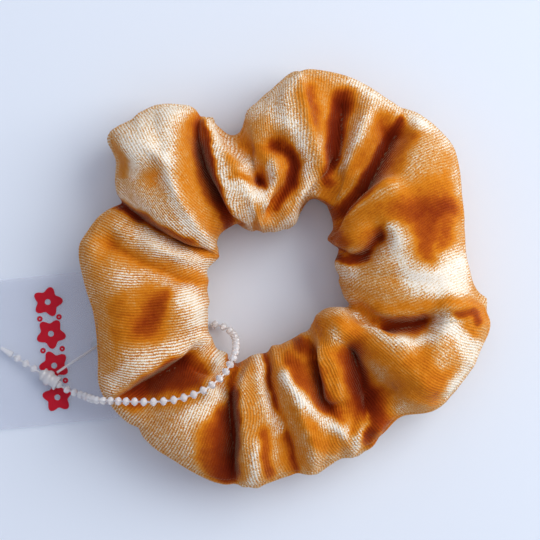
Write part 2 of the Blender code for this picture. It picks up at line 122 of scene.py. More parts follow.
# painted sheen and shade over the nap's own tone: strokes that paint cream where the sheen catches the light and dark
# where the folds lie in shade;
# each has its tone, 0 the darkest, 0.5 orange and 1 cream; half its width, or that at its first and last point; and its
# line as (x, y) in mm from the ring's centre
SHEEN_AND_SHADE_STROKES = [
    # the top left lobe
    (0.92, 8.5, (-40, 37), (-33, 42), (-31, 34)), (0.92, 2.6, (-31, 46), (-24, 46)),
    (0.92, 2.2, (-39, 34), (-38.5, 28)), (0.48, 1.6, (-45, 38), (-42, 34), (-41, 29)),
    (0.62, 2.6, (-32, 31.5), (-34.5, 28), (-38, 25)), (0.54, 1.4, (-31.5, 30.5), (-34, 28)),
    (0.76, 2.8, (-39, 24), (-31, 20)), (0.95, 2.0, (-29, 33), (-28, 25), (-25, 18), (-18, 10.5)),
    (0.53, 3.6, (-20.5, 45), (-24, 39), (-25, 30), (-22.5, 21), (-17, 15), (-13, 12)),
    (0.32, 2.0, (-20, 41), (-20.6, 34), (-18.6, 25), (-14, 18)),
    (0.05, (0.8, 1.8), (-18.7, 43.5), (-18.4, 37), (-17.8, 31), (-15.4, 23), (-11.5, 14.5)),
    # the swirl: its left side, its rim and its heart
    (0.9, 1.2, (-17.9, 45), (-15.6, 36.5), (-13.8, 29.3), (-11, 20.5), (-7.8, 11)),
    (0.92, 2.0, (-16.5, 46), (-13.5, 41)), (0.84, 3.2, (-12.5, 38), (-10, 35), (-7, 31.5)),
    (0.55, 1.6, (-13, 34), (-11, 31)), (0.72, 3.6, (-9, 21), (-8, 13)), (0.52, 1.0, (-5, 21), (-5.5, 13)),
    (0.9, 0.9, (-7, 20), (-7.5, 11)), (0.96, 2.2, (-13, 28), (-9, 25), (-4, 23.5), (0, 24.5)),
    (0.36, 0.6, (-12.4, 28.8), (-8, 28.2), (-3.6, 25.8)), (0.8, 4.4, (-7, 46), (-2, 49), (3, 52)),
    (0.58, 3.6, (-9, 41), (-3, 41), (3, 40)), (0.46, 2.2, (-9, 37.5), (-4, 34.5), (-3, 31)),
    (0.88, 1.9, (0, 46), (5, 42), (7.2, 37), (8, 31), (8, 25), (5.5, 18.5), (1, 13.5), (-3, 10.5)),
    (0.58, 1.5, (6, 33), (6, 27), (4, 20.5), (0, 16)), (0.3, 1.3, (-0.7, 37.2), (2, 36.6), (4, 35)),
    (0.08, 1.5, (4, 34.8), (5, 31), (4, 27)), (0.14, (1.6, 0.8), (4, 27), (2, 23), (0, 20)),
    (0.5, 1.5, (-0.5, 34), (1.8, 31), (1.5, 27), (-0.5, 23)), (0.85, 0.8, (-1.8, 31), (-1, 28), (-2, 26)),
    (0.16, 0.35, (-5, 26.9), (-3, 25.6)), (0.54, 1.5, (6.5, 53.5), (6.3, 50), (8, 44), (10.5, 36), (13.5, 27)),
    # the two fans of folds at the top right
    (0.56, 2.2, (11, 53), (10, 47)), (0.38, 1.8, (9, 51), (11, 42)),
    (0.38, (3.6, 2.0), (19.5, 50), (17, 45), (15.5, 37), (14.5, 29)),
    (0.22, (2.2, 2.0), (18, 50), (16.5, 44), (15.5, 36), (14.5, 28)),
    (0.08, (0.5, 1.8), (17, 46), (16, 38), (14.5, 26)), (0.64, 1.6, (23.5, 48), (21, 41), (19.5, 35), (16.5, 28)),
    (0.82, 1.0, (26, 47.5), (22, 39), (18, 30)),
    (0.48, 2.2, (30.5, 45.5), (27, 40.5), (23, 34), (19, 28), (14, 22.5)),
    (0.42, 3.6, (37, 40), (33.5, 34), (29, 27)),
    (0.27, (1.4, 3.2), (35, 44.5), (31.5, 38.5), (28, 31), (24, 24), (18, 17.5)),
    (0.07, (0.7, 1.8), (34, 44), (31, 39), (27, 32), (23, 25), (17, 18)), (0.3, 1.4, (13, 19), (16, 17.5)),
    (0.96, 2.6, (22, 54.5), (28, 50.5), (35, 47), (42, 41.5), (47, 37)), (0.68, 3.4, (42, 38), (38, 33)),
    (0.6, 4.6, (46, 32), (40, 28)), (0.66, 0.3, (32, 26.5), (25, 22.2), (20, 18.2), (16, 15.3)),
    # the right lobe: the nose, the dark patch and the cream tongue
    (0.5, 3.2, (18, 14), (24, 17.5), (31, 21.5), (40, 25.5), (47, 27)), (0.56, 2.0, (26, 15), (23, 11)),
    (0.34, 5.4, (34, 19), (41, 20), (45, 20)), (0.24, 2.8, (37, 18.5), (42, 19.5), (46, 20)),
    (0.22, 2.4, (41.5, 17), (41, 13)), (0.31, (3.8, 2.0), (39.8, 14), (40.6, 8), (41.5, 4)),
    (0.4, 2.4, (46, 16), (45, 10)), (0.74, 1.6, (49, 34), (49.5, 25)),
    (0.42, 2.6, (16, 12), (21, 10.6), (26, 12.5)), (0.3, 1.8, (14, 12.5), (18, 10.5)),
    (0.08, 1.3, (13.6, 8.8), (16.5, 6.4), (20, 5.4), (24, 7), (27, 10.5)), (0.25, 0.8, (27, 10.5), (29.2, 14.5)),
    (0.94, 1.9, (31.5, 14.5), (32.5, 9), (34, 4), (37, 0)), (0.7, 2.6, (28, 8), (30, 3)),
    (0.86, 1.8, (16.5, 3.5), (21, 1.5)), (0.6, 3.6, (22, -3), (28, -3), (31, 0)),
    (0.99, 4.6, (39, 0), (45, 1), (50, 5), (51, -1), (42, -1)),
    # the rolled edge over the pocket, and the pocket
    (0.51, 1.9, (21, -8), (30, -7.8), (40, -6.6), (50, -5.4), (56, -6.5), (57, -9)),
    (0.3, 0.3, (22, -11), (40, -9.4)), (0.24, 2.0, (30.5, -12.5), (37.5, -12)),
    (0.98, 2.2, (44.5, -11), (48.5, -12.5), (51, -16), (53, -18.5)),
    (0.95, 0.9, (33, -15.8), (38, -16.3), (43, -14.5)), (0.26, 1.0, (48.5, -8.8), (53.5, -8.4), (54.4, -11)),
    (0.5, 1.2, (51, -11.5), (53.5, -14.5)),
    # the lower right lobe and its cuff
    (0.47, (2.6, 4.4), (17, -11), (24, -18), (33, -22.5), (42, -21.5)),
    (0.43, 6.2, (35, -28), (41, -29), (44, -25)), (0.97, 1.9, (43, -11), (49, -13.5), (52.5, -19)),
    (0.66, 2.8, (46, -18), (45, -22)), (0.97, 2.0, (54.5, -17.5), (50.5, -25.5), (47, -31)),
    (0.86, 0.7, (21, -9.2), (25, -11.7), (30, -15.4)), (0.45, 2.6, (12, -11.5), (13.5, -17), (15, -24)),
    (0.28, (3.6, 6.2), (19, -20), (21, -26), (23.5, -32), (27.5, -38)),
    (0.15, (2.0, 3.6), (20.5, -22), (22.8, -28), (25, -34), (26, -42)),
    (0.07, 1.8, (21.5, -27), (23.2, -32), (26.5, -38)), (0.47, 1.3, (15, -22), (16, -28), (16.3, -33)),
    (0.22, 2.3, (6, -16.5), (9, -20), (11.3, -26), (13.2, -32)),
    # the folds at the bottom
    (0.5, 1.7, (2, -18.5), (7, -21)), (0.28, 2.8, (4.5, -22), (7.5, -27), (12, -33), (16, -36.5)),
    (0.52, 2.0, (-2, -18), (-0.5, -24), (3, -31), (7.5, -38), (13, -42.5), (18, -43.5)),
    (0.97, 1.2, (2, -25.5), (6, -31), (11, -36), (17, -40), (19, -41)),
    (0.22, 0.6, (-2.9, -19.5), (-1.8, -28), (0.3, -35), (3, -42), (5.3, -51)),
    (0.54, 1.0, (6.5, -45), (8.5, -50), (9.5, -52.5)),
    (0.84, 1.4, (-5.2, -20), (-4, -28), (-1.8, -34), (1.5, -40)),
    (0.55, 2.0, (-8, -20), (-7.3, -28), (-7.2, -36), (-8, -44), (-9, -53)),
    (0.92, 1.0, (-4.8, -43), (-5.3, -49), (-6.3, -54)), (0.34, 1.6, (-3.2, -41), (-3, -47), (-2, -52)),
    (0.52, 1.5, (1.5, -43), (3, -48), (4, -52)), (0.66, 2.8, (12, -49), (19, -47)),
    (0.46, 2.0, (10, -43.5), (15.5, -45)), (0.88, 0.7, (21, -45), (23, -40), (25, -36)),
    (0.45, 1.1, (21, -41), (23.3, -37)), (0.12, 2.0, (27.5, -40), (27, -36)), (0.38, 1.2, (31, -40), (26, -44)),
    # the lower left lobe and the pocket over it
    (0.2, 3.6, (-36, -28), (-30, -27), (-22, -26.5)), (0.07, 2.6, (-31, -23), (-26, -22)),
    (0.36, 2.0, (-22.5, -21), (-20.5, -24)), (0.34, 2.2, (-41, -31.5), (-37, -34)),
    (0.5, 1.7, (-31, -33), (-22, -31.5)), (0.6, 2.0, (-20, -17.3), (-16, -18), (-17, -21.5)),
    (0.95, 1.8, (-14.3, -17), (-15.5, -22), (-15, -26), (-14.5, -30)), (0.38, 0.7, (-12, -18), (-12.8, -22.5)),
    (0.88, 2.2, (-15, -29.5), (-19, -34), (-24, -37)), (0.7, 4.4, (-36, -38), (-28, -43), (-20, -49)),
    (0.34, 3.4, (-18, -40), (-19, -47), (-16, -52)), (0.15, 3.6, (-13.5, -37), (-14.5, -44), (-13.5, -52)),
    (0.04, 1.2, (-11.3, -30), (-11, -42), (-11.7, -51)),
    # the left lobe
    (0.57, 4.0, (-46, 17), (-49, 9), (-48, 2)),
    (0.12, 1.2, (-43.5, 21.3), (-38.5, 18.5), (-30.5, 13.9), (-22.4, 9.6)),
    (0.8, 0.5, (-42, 23), (-33, 18), (-24, 12.9)), (0.68, 2.6, (-42, 14.5), (-39, 11)),
    (0.88, 3.2, (-35, 12.5), (-28, 8.5), (-20, 4.5), (-17, 3)), (0.5, 0.9, (-22, 9), (-15.5, 6.5)),
    (0.58, 2.2, (-43, 9), (-37, 5.7), (-28, 3), (-20, 0.5), (-17, -1)),
    (0.8, 2.3, (-42, 1), (-35, 1.2), (-30, -0.3)), (0.44, 4.6, (-43, -7), (-39, -13), (-44, -15)),
    (0.46, 6.0, (-33, -4.5), (-34, -11)), (0.6, 2.2, (-48, -5), (-46.5, -15), (-45, -23)),
    (0.26, (2.0, 3.4), (-30.5, -4), (-32.5, -8), (-35, -12)), (0.98, 3.4, (-24, -4), (-21, -7), (-21, -11)),
    (0.66, 1.4, (-21, -13.5), (-18, -13)), (0.86, 2.6, (-43.5, -27), (-36, -22), (-28, -18), (-20.5, -15)),
]
# crushed pleats and small creases, drawn at random round the ring
PLEATS, PLEAT_SEED = 46, 7
CREASES, CREASE_SEED = 240, 11

# the cover's grid: columns round the ring, and rows over the tube's top and under it
COLUMNS, TOP_ROWS, UNDER_ROWS = 620, 52, 26
ANGLES = np.arange(COLUMNS) * 360.0 / COLUMNS
CLOTH = 0.9  # the cloth's thickness, in millimetres
VALLEY_DEPTH, RIDGE_HEIGHT = 1.2, 1.25  # what the tables' depths and heights are multiplied by
LINE_FADE = 4.5  # millimetres in which a fold fades past its line's ends
CRISP_LEAN = 1.0  # a ridge that leans at least this far has a crisp edge
# the long seam: its row, half its width and half its gap in degrees, and its groove's depth (mm) and reach (degrees)
SEAM_AT, SEAM_HALF, SEAM_LIP, GROOVE_DEPTH, GROOVE_REACH = 17.0, 1.1, 0.25, 0.45, 1.6
LONG_SEAM_INSET = 1.9  # millimetres from the cover's outer face to its thread
SLIT_FROM, SLIT_TO = 191.5, 203.5  # the turning gap that the closing stitches cross, in degrees round the ring
# the folds and strokes are placed as seen by an eye this far above the table, in millimetres
SEEN_FROM = 550.0
# how far the cover's folds stay from the elastic, in millimetres: above the table, and out from the ring's centre
ABOVE_ELASTIC, INSIDE_ELASTIC = 14.9, 24.6
# the cover's lift over the tag and the strand, in millimetres, and where it is, in degrees
TAG_SIDE_LIFT, LIFT_FROM, LIFT_TO, LIFT_FADE = 3.0, 168.0, 232.0, 16.0
TABLE_GAP = 0.02  # millimetres under the pressed underside
BASE_TONE = 0.64  # the nap's tone where no stroke lies
RIBS_CLEAREST = 192.0  # degrees round the ring, where the cloth is stretched and its ribs stand out


# ---- helpers
def ease(share):
    """The share from 0 to 1 with a soft start and a soft end."""
    share = np.clip(share, 0.0, 1.0)
    return share * share * (3.0 - 2.0 * share)


def turn_between(a, b):
    """a - b in degrees, from -180 to 180."""
    return (a - b + 180.0) % 360.0 - 180.0


def curve_between(a, b, c, d, t):
    """The smooth curve from b to c, where t goes from 0 to 1, with their neighbours a and d."""
    return 0.5 * (2 * b + (c - a) * t + (2 * a - 5 * b + 4 * c - d) * t**2 + (3 * b - a - 3 * c + d) * t**3)


def round_table(table, degrees):
    """A closed outline's value at these angles, smooth through the table's points."""
    at, values = np.array(table, float).T
    count = len(at)
    degrees = np.asarray(degrees) % 360.0
    after = np.searchsorted(at, degrees, side="right")
    before = after - 1
    low = np.where(before < 0, at[-1] - 360.0, at[before])
    high = np.where(after >= count, at[0] + 360.0, at[after % count])
    t = (degrees - low) / (high - low)
    return curve_between(*(values[(before + k) % count] for k in (-1, 0, 1, 2)), t)


def powered(value, power):
    return np.sign(value) * np.abs(value) ** power


def soft_floor(height, floor, width):
    """The height kept above a floor, which it meets softly, from this width below it to this width above."""
    low = height - floor
    return floor + np.where(low > width, low, np.maximum(0.0, (low + width) / (2 * width)) ** 2 * width)


def link(name, data, material=None):
    obj = bpy.data.objects.new(name, data)
    SCENE.collection.objects.link(obj)
    if material:
        obj.data.materials.append(material)
    return obj


# ---- materials
class Nodes:
    """A material's node tree, with short calls to add to it."""

    def __init__(self, name):
        self.material = bpy.data.materials.new(name)
        self.material.use_nodes = True
        self.tree = self.material.node_tree
        self.shader = self.tree.nodes["Principled BSDF"]

    def set(self, **values):
        for name, value in values.items():
            self.shader.inputs[name.replace("_", " ")].default_value = value

    def fill(self, socket, value):
        """Links the value to the socket where it is another node's output, and otherwise sets it."""
        if isinstance(value, bpy.types.NodeSocket):
            self.tree.links.new(value, socket)
        else:
            socket.default_value = value

    def add(self, kind, inputs=(), **settings):
        node = self.tree.nodes.new("ShaderNode" + kind)
        for name, value in settings.items():
            setattr(node, name, value)
        for name, value in dict(inputs).items():
            self.fill(node.inputs[name], value)
        return node

    def math(self, operation, a, b=0.0):
        return self.add("Math", {0: a, 1: b}, operation=operation).outputs[0]

    def scaled(self, value, by, plus):
        return self.add("Math", {0: value, 1: by, 2: plus}, operation="MULTIPLY_ADD").outputs[0]

    def into(self, socket, output):
        self.tree.links.new(output, self.shader.inputs[socket])

    def position(self):
        return self.add("TexCoord").outputs["Object"]

    def noise(self, scale, detail, roughness=0.5):
        settings = {"Vector": self.position(), "Scale": scale, "Detail": detail, "Roughness": roughness}
        return self.add("TexNoise", settings).outputs[0]

    def bump(self, strength, distance, height):
        node = self.add("Bump", {"Strength": strength, "Distance": distance, "Height": height})
        self.into("Normal", node.outputs[0])

    def mix(self, share, a, b, blend="MIX"):
        node = self.add("Mix", data_type="RGBA", blend_type=blend)
        for index, value in ((0, share), (6, a), (7, b)):
            self.fill(node.inputs[index], value)
        return node.outputs[2]

    def ramp(self, value, stops):
        node = self.add("ValToRGB", {"Fac": value})
        while len(node.color_ramp.elements) < len(stops):
            node.color_ramp.elements.new(0.5)
        for element, (at, colour) in zip(node.color_ramp.elements, stops):
            element.position = at
            element.color = colour
        return node.outputs["Color"]


def grey(value):
    return (value, value, value, 1)


RIB_PITCH = 0.00074  # metres along the strip from rib to rib
RIB_DRIFT = 4.0  # how far the ribs wander, in radians
PATCH_TONE, SPOT_TONE = 0.26, 0.16  # how far the crushed patches and spots shift the nap's tone
RIBS_SHOW, RIBS_SHOW_STRETCHED = 0.24, 0.24  # how clear the ribs are, and how much more where stretched
PILE_SPARKLE = 2.6


def velvet_material():
    """Ribbed stretch velvet: fine ribs along the strip's width, short pile, a real sheen, and a nap whose tone carries
    painted sheen and shade.
    """
    m = Nodes("ribbed_velvet")
    strip = m.add("UVMap", uv_map="strip").outputs[0]
    along = m.add("SeparateXYZ", {0: strip}).outputs[0]
    wander = m.noise(260.0, 3.0)
    phase = m.scaled(along, math.tau / RIB_PITCH, m.math("MULTIPLY", wander, RIB_DRIFT))
    rib = m.scaled(m.math("SINE", phase), 0.5, 0.5)
    pile = m.math("SUBTRACT", m.noise(2500.0, 3.0, 0.8), 0.5)
    patches = m.math("SUBTRACT", m.noise(110.0, 4.0, 0.6), 0.5)
    spots = m.math("SUBTRACT", m.noise(620.0, 2.0), 0.5)
    # the nap's tone from the cover's mesh, with its painted sheen and shade
    tone_sheen_shade = m.add("Attribute", attribute_name="nap").outputs["Fac"]
    tone_sheen_shade = m.scaled(spots, SPOT_TONE, m.scaled(patches, PATCH_TONE, tone_sheen_shade))
    # the ribs and the pile's sparkle show most where the nap is golden, and fade again in the brightest cream
    share = m.ramp(tone_sheen_shade, [
        (0.0, grey(0.08)), (0.52, grey(0.14)), (0.66, grey(0.65)), (0.78, grey(1.0)), (0.9, grey(0.95)),
        (1.0, grey(0.6)),
    ])
    # between the ribs the tone is darker, in a gap that the pile breaks up
    gap = m.math("POWER", m.math("SUBTRACT", 1.0, rib), 1.6)
    broken = m.math("MULTIPLY", m.scaled(pile, 2.4, 1.0), gap)
    stretched = m.add("Attribute", attribute_name="stretched").outputs["Fac"]
    clear = m.scaled(stretched, RIBS_SHOW_STRETCHED, RIBS_SHOW)
    lines = m.math("MULTIPLY", m.math("SUBTRACT", 0.30, broken), clear)
    tone_sheen_shade = m.scaled(m.scaled(pile, PILE_SPARKLE, lines), share, tone_sheen_shade)
    colour = m.ramp(tone_sheen_shade, [
        (0.0, (0.16, 0.012, 0.001, 1)), (0.2, (0.27, 0.032, 0.001, 1)), (0.36, (0.44, 0.085, 0.003, 1)),
        (0.52, (0.68, 0.215, 0.008, 1)), (0.67, (0.68, 0.355, 0.105, 1)), (0.82, (0.80, 0.585, 0.335, 1)),
        (0.98, (0.96, 0.90, 0.78, 1)),
    ])
    # painted shade: the colour is darker and warmer in the hollows
    hollow = m.add("Attribute", attribute_name="hollow").outputs["Fac"]
    m.into("Base Color", m.mix(m.math("MULTIPLY", hollow, 0.7), colour, (0.76, 0.32, 0.16, 1), "MULTIPLY"))
    m.bump(0.65, 0.00028, m.scaled(rib, 0.8, m.math("MULTIPLY", pile, 1.2)))
    m.set(Roughness=0.7, Sheen_Weight=0.4, Sheen_Roughness=0.25, Sheen_Tint=(1.0, 0.78, 0.45, 1))
    m.set(Specular_IOR_Level=0.12, Specular_Tint=(1.0, 0.85, 0.6, 1))
    return m.material


def banded_material(name, dark, light, scale, distortion, direction, bump, **looks):
    """Thread or braid: bands of two colours that stand out."""
    m = Nodes(name)
    wave = {"Vector": m.position(), "Scale": scale, "Distortion": distortion}
    bands = m.add("TexWave", wave, bands_direction=direction).outputs["Fac"]
    m.into("Base Color", m.mix(bands, (*dark, 1), (*light, 1)))
    m.bump(*bump, bands)
    m.set(**looks)
    return m.material


def thread_material(name, colour):
    dark = [c * 0.6 for c in colour]
    twist = (1400.0, 2.0, "DIAGONAL", (0.4, 0.0001))
    return banded_material(name, dark, colour, *twist, Roughness=0.6, Sheen_Weight=0.3)


def clear_material(name, colour, alpha, roughness, **looks):
    """Clear plastic with faint haze and scuffs."""
    m = Nodes(name)
    haze = m.noise(220.0, 4.0)
    m.into("Base Color", m.mix(haze, (*[c * 0.93 for c in colour], 1), (*colour, 1)))
    m.into("Roughness", m.scaled(haze, 0.12, roughness - 0.05))
    m.bump(0.1, 0.0001, haze)
    m.set(Alpha=alpha, IOR=1.5, Coat_Weight=0.4, Coat_Roughness=0.05, **looks)
    return m.material


def print_material():
    m = Nodes("tag_print")
    grain = m.noise(900.0, 2.0)
    m.into("Base Color", m.mix(grain, (0.50, 0.006, 0.020, 1), (0.60, 0.010, 0.028, 1)))
    m.set(Roughness=0.6, Specular_IOR_Level=0.15)
    return m.material


VELVET = velvet_material()
THREAD = thread_material("sewing_thread", (0.42, 0.16, 0.03))
ELASTIC_THREAD = thread_material("white_thread", (0.85, 0.82, 0.76))
ELASTIC = banded_material(
    "braided_elastic", (0.62, 0.60, 0.55), (0.88, 0.87, 0.83), 420.0, 0.6, "Z", (0.6, 0.0002), Roughness=0.75
)
CARD = clear_material("clear_card", (0.78, 0.82, 0.92), 0.30, 0.16)
BEADS = clear_material("clear_beads", (1.0, 1.0, 1.0), 1.0, 0.08, Transmission_Weight=0.5)
PRINT = print_material()


# ---- the cover
def section_rows():
    """The rows' angles round the tube, 0 at the outer edge and 90 at the top, and the seam's own four of them."""
    top = np.linspace(0.0, 180.0, TOP_ROWS, endpoint=False)
    under = np.linspace(180.0, 360.0, UNDER_ROWS, endpoint=False)
    rows = np.concatenate([top, under])
    seam = np.array([SEAM_AT - SEAM_HALF, SEAM_AT - SEAM_LIP, SEAM_AT + SEAM_LIP, SEAM_AT + SEAM_HALF])
    rows = rows[np.abs(rows - SEAM_AT) > SEAM_HALF + 1.0]
    return np.sort(np.concatenate([rows, seam])), seam


def line_at(line, radius):
    """The angle of a fold's line at these radii, and how much of the fold is there: it fades past its ends."""
    angles, at = np.array(sorted(line, key=lambda p: p[1]), float).T
    middle = np.interp(radius, at, np.unwrap(angles, period=360.0))
    past = np.maximum(at[0] - radius, radius - at[-1])
    return middle, 1.0 - ease(past / LINE_FADE)


def fold_shape(away, low, high, rounding=0.9):
    """1 on the line, falling to 0 on its two sides at different rates."""
    reach = np.where(away < 0, low, high)
    return np.exp(-(np.sqrt(away * away + rounding * rounding) - rounding) / reach)


def fold_field(theta, radius, row):
    """Height along the normal and lean round the ring, both in mm, and how deep in a fold each place is, which paints
    shade into the cover's tone.
    """
    up = np.sin(np.radians(row))
    # the share of the folds that goes on under the tube
    share = np.where(up > -0.15, 1.0, 0.45 + 0.55 * ease((0.6 + up) / 0.45))
    height = np.zeros_like(radius)
    lean = np.zeros_like(radius)
    fold_shade = np.zeros_like(radius)
    # folds narrow towards the hole, where the cloth is gathered most, and fade on the hole's wall
    gathered = np.clip(radius / 36.0, 0.45, 1.1)
    wall = 1.0 - 0.75 * ease((row - 115.0) / 40.0) * ease((270.0 - row) / 30.0)

    def from_line(line):
        middle, there = line_at(line, radius)
        return np.radians(turn_between(theta, middle)) * radius / gathered, there

    for depth, low, high, *line in VALLEYS:
        away, there = from_line(line)
        sharp = fold_shape(away, low, high)
        broad = np.exp(-((away / (2.2 * (low + high) / 2)) ** 2))
        height -= VALLEY_DEPTH * depth * there * (0.66 * sharp + 0.34 * broad) * share * (0.4 + 0.6 * wall)
        # painted shade along the valley's line
        fold_shade = np.maximum(fold_shade, there * sharp * min(depth / 6.0, 1.0))
    for tall, low, high, over, *line in RIDGES:
        away, there = from_line(line)
        crisp = abs(over) >= CRISP_LEAN
        sharp = fold_shape(away, low, high, 0.5 if crisp else 1.1)
        height += RIDGE_HEIGHT * tall * there * sharp * share * wall
        lean += over * there * np.exp(-((away / 2.2) ** 2)) * share
        # less painted shade along the ridge, least at a crisp edge
        fold_shade -= (0.8 if crisp else 0.35) * there * sharp
    for angle, at, tall, reach in SWELLINGS:
        x = radius * np.cos(np.radians(theta)) - at * math.cos(math.radians(angle))
        y = radius * np.sin(np.radians(theta)) - at * math.sin(math.radians(angle))
        near = np.exp(-(x * x + y * y) / reach**2) * np.where(up > -0.2, 1.0, 0.0)
        height += tall * near
        # a dent takes a little painted shade, and a swelling loses some
        fold_shade -= 0.2 * near * np.sign(tall)
    return height, lean, fold_shade


def random_folds(theta, radius, row, outer, inner):
    """Small folds: crushed pleats that start at the hole, and creases along the gathers all round the tube."""
    height = np.zeros_like(radius)
    outward = (radius - inner) / (outer - inner)
    rng = np.random.default_rng(PLEAT_SEED)
    for k in range(PLEATS):
        angle = 360.0 * (k + rng.uniform(-0.38, 0.38)) / PLEATS
        deep, length = rng.uniform(0.2, 0.9), rng.uniform(0.16, 0.5)
        wide, bend = rng.uniform(0.8, 1.7), rng.uniform(-7.0, 7.0)
        away = np.radians(turn_between(theta, angle + bend * outward)) * radius
        height -= deep * fold_shape(away, wide, wide * rng.uniform(0.6, 1.6)) * (1.0 - ease(outward / length))
    # the creases are deeper on the outer side
    side = 1.0 + 1.1 * ease((75.0 - np.abs(turn_between(row, -15.0))) / 50.0)
    rng = np.random.default_rng(CREASE_SEED)
    for _ in range(CREASES):
        angle, turned = rng.uniform(0.0, 360.0), rng.uniform(20.0, 340.0)
        long, wide = rng.uniform(18.0, 60.0), rng.uniform(0.7, 2.2)
        tall, skew = rng.choice([-1.0, 1.0]) * rng.uniform(0.15, 0.6), rng.uniform(-0.16, 0.16)
        over = turn_between(row, turned)
        away = np.radians(turn_between(theta, angle + skew * over)) * radius
        height += side * tall * fold_shape(away, wide, wide * rng.uniform(0.5, 1.8)) * np.exp(-((over / long) ** 2))
    return height


def smooth_grid(field, rounds, weight=0.5):
    """Averages a field of the tube's grid with its neighbours, round the ring and round the tube."""
    for _ in range(rounds):
        near = sum(np.roll(field, step, axis) for axis in (0, 1) for step in (-1, 1)) / 4.0
        field = field + weight * (near - field)
    return field


def grid_normals(points):
    along = np.roll(points, -1, 0) - np.roll(points, 1, 0)
    across = np.roll(points, -1, 1) - np.roll(points, 1, 1)
    normals = np.cross(along, across)
    return normals / np.maximum(np.linalg.norm(normals, axis=2, keepdims=True), 1e-9)


def cover_points():
    """The cover's outer face as a grid of points in mm, its rows, the seam's rows, its nap's tone with painted sheen
    and shade, and its painted shade in the hollows.
    """
    rows, seam = section_rows()
    theta, row = np.meshgrid(ANGLES, rows, indexing="ij")
    outer, inner = round_table(OUTER_RIM, theta), round_table(INNER_RIM, theta)
    top = round_table(TUBE_TOP, theta)
    half_width, half_height = (outer - inner) / 2, (top - TUBE_BOTTOM) / 2
    across, up = np.cos(np.radians(row)), np.sin(np.radians(row))
    radius = (outer + inner) / 2 + powered(across, 2 / FULLNESS) * half_width
    z = (top + TUBE_BOTTOM) / 2 + powered(up, 2 / FULLNESS) * half_height
    turn = np.radians(theta)
    points = np.stack([radius * np.cos(turn), radius * np.sin(turn), z], axis=2)
    points = smooth_grid(points, 3)
    normals = smooth_grid(grid_normals(points), 6)
    height, lean, fold_shade = fold_field(theta, radius / (1.0 - z / SEEN_FROM), row)
    small = random_folds(theta, radius, row, outer, inner)
    # the folds are shallower on the hole's wall and towards the outer edge
    rim = 1.0 - 0.4 * ease((row - 150.0) / 30.0) * ease((250.0 - row) / 40.0)
    edge = 1.0 - 0.55 * ease(1.0 - (outer - radius) / 7.0) * (row < 180)
    points = points + normals * ((height * rim * edge + small)[..., None])
    tangent = np.stack([-np.sin(turn), np.cos(turn), np.zeros_like(turn)], axis=2)
    points = points + tangent * (lean * ease((radius - inner - 2.0) / 8.0) * (row < 175.0))[..., None]
    points = clear_elastic(points, row)
    # the seam's groove, all round the outer side
    groove = np.exp(-((turn_between(row, SEAM_AT) / GROOVE_REACH) ** 2))
    points = points - normals * (GROOVE_DEPTH * groove)[..., None]
    points = smooth_grid(points, 1, 0.35)
    near_hole = (ease((row - 120.0) / 25.0) * ease((250.0 - row) / 25.0))[..., None]
    points = points + (smooth_grid(points, 6) - points) * near_hole
    # the underside is pressed flat on the surface, and held up over the tag and the strand
    rise = ease((theta - (LIFT_FROM - LIFT_FADE)) / LIFT_FADE) * ease(((LIFT_TO + LIFT_FADE) - theta) / LIFT_FADE)
    points[..., 2] = soft_floor(points[..., 2], TAG_SIDE_LIFT * rise + TABLE_GAP, 1.2)
    # painted highlight and shade: the nap's tone is lighter on what stands out and darker in the folds, with the
    # strokes of painted sheen and shade laid over it
    fine = smooth_grid(height + small, 5)
    wide = smooth_grid(height + small, 60)
    tone_sheen_shade = paint_sheen_and_shade(BASE_TONE + 0.08 * (fine - wide), points, row)
    # painted shade in the hollows: how far each place lies below its smoothed surroundings
    hollow = np.clip((wide - fine - 0.4) / 3.5, 0.0, 1.0)
    # painted shade along the valleys' lines and in the hollows, and a painted highlight on what stands out
    tone_sheen_shade = tone_sheen_shade - 0.30 * np.clip(fold_shade, 0.0, 1.0) ** 2 - 0.15 * hollow + 0.05 * np.clip(fine - wide, 0.0, 2.0)
    return points, rows, seam, np.clip(smooth_grid(tone_sheen_shade, 1), 0.02, 1.0), smooth_grid(hollow, 2)


def clear_elastic(points, row):
    """Folds that would reach the elastic stop short of it: above it on the top, and inside it in the ring's hole."""
    radius = np.hypot(points[..., 0], points[..., 1])
    over = ease((radius - 22.0) / 2.0) * ease((33.0 - radius) / 2.0) * (row > 25.0) * (row < 165.0)
    points[..., 2] += (soft_floor(points[..., 2], ABOVE_ELASTIC, 1.5) - points[..., 2]) * over
    inside = (row >= 140.0) & (row < 260.0) & (points[..., 2] < ABOVE_ELASTIC + 1.0) & (radius > INSIDE_ELASTIC)
    shrink = np.where(inside, INSIDE_ELASTIC / radius, 1.0)
    points[..., :2] *= shrink[..., None]
    return points


